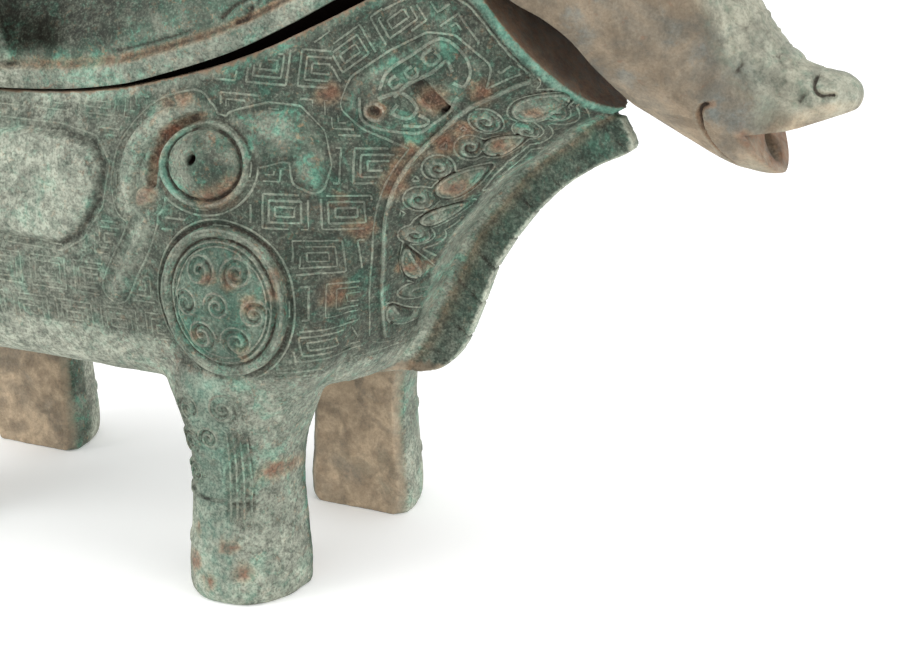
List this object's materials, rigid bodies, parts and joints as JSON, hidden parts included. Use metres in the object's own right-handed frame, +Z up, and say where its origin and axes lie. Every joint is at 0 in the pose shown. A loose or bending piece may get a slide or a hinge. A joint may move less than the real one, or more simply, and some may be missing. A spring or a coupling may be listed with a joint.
{
  "type": "animal-shaped zun vessel",
  "caption": "Lidded bronze pouring vessel shaped as a standing horned animal, with carved flanks, a chest flange and a lift-off lid that carries the head.",
  "frame": {"origin": "on the floor under the middle of the whole object's box", "axes": "+X toward the animal's snout, +Y to its left, +Z up"},
  "size_m": [0.19, 0.069, 0.1389],
  "materials": {
    "vessel_bronze": "old bronze under matte green patina with tan and brown earth",
    "lid_bronze": "old bronze under matte brown-grey and green patina"
  },
  "bodies": {
    "root": {"vessel": "vessel_bronze", "lid": "lid_bronze"}
  },
  "joints": []
}
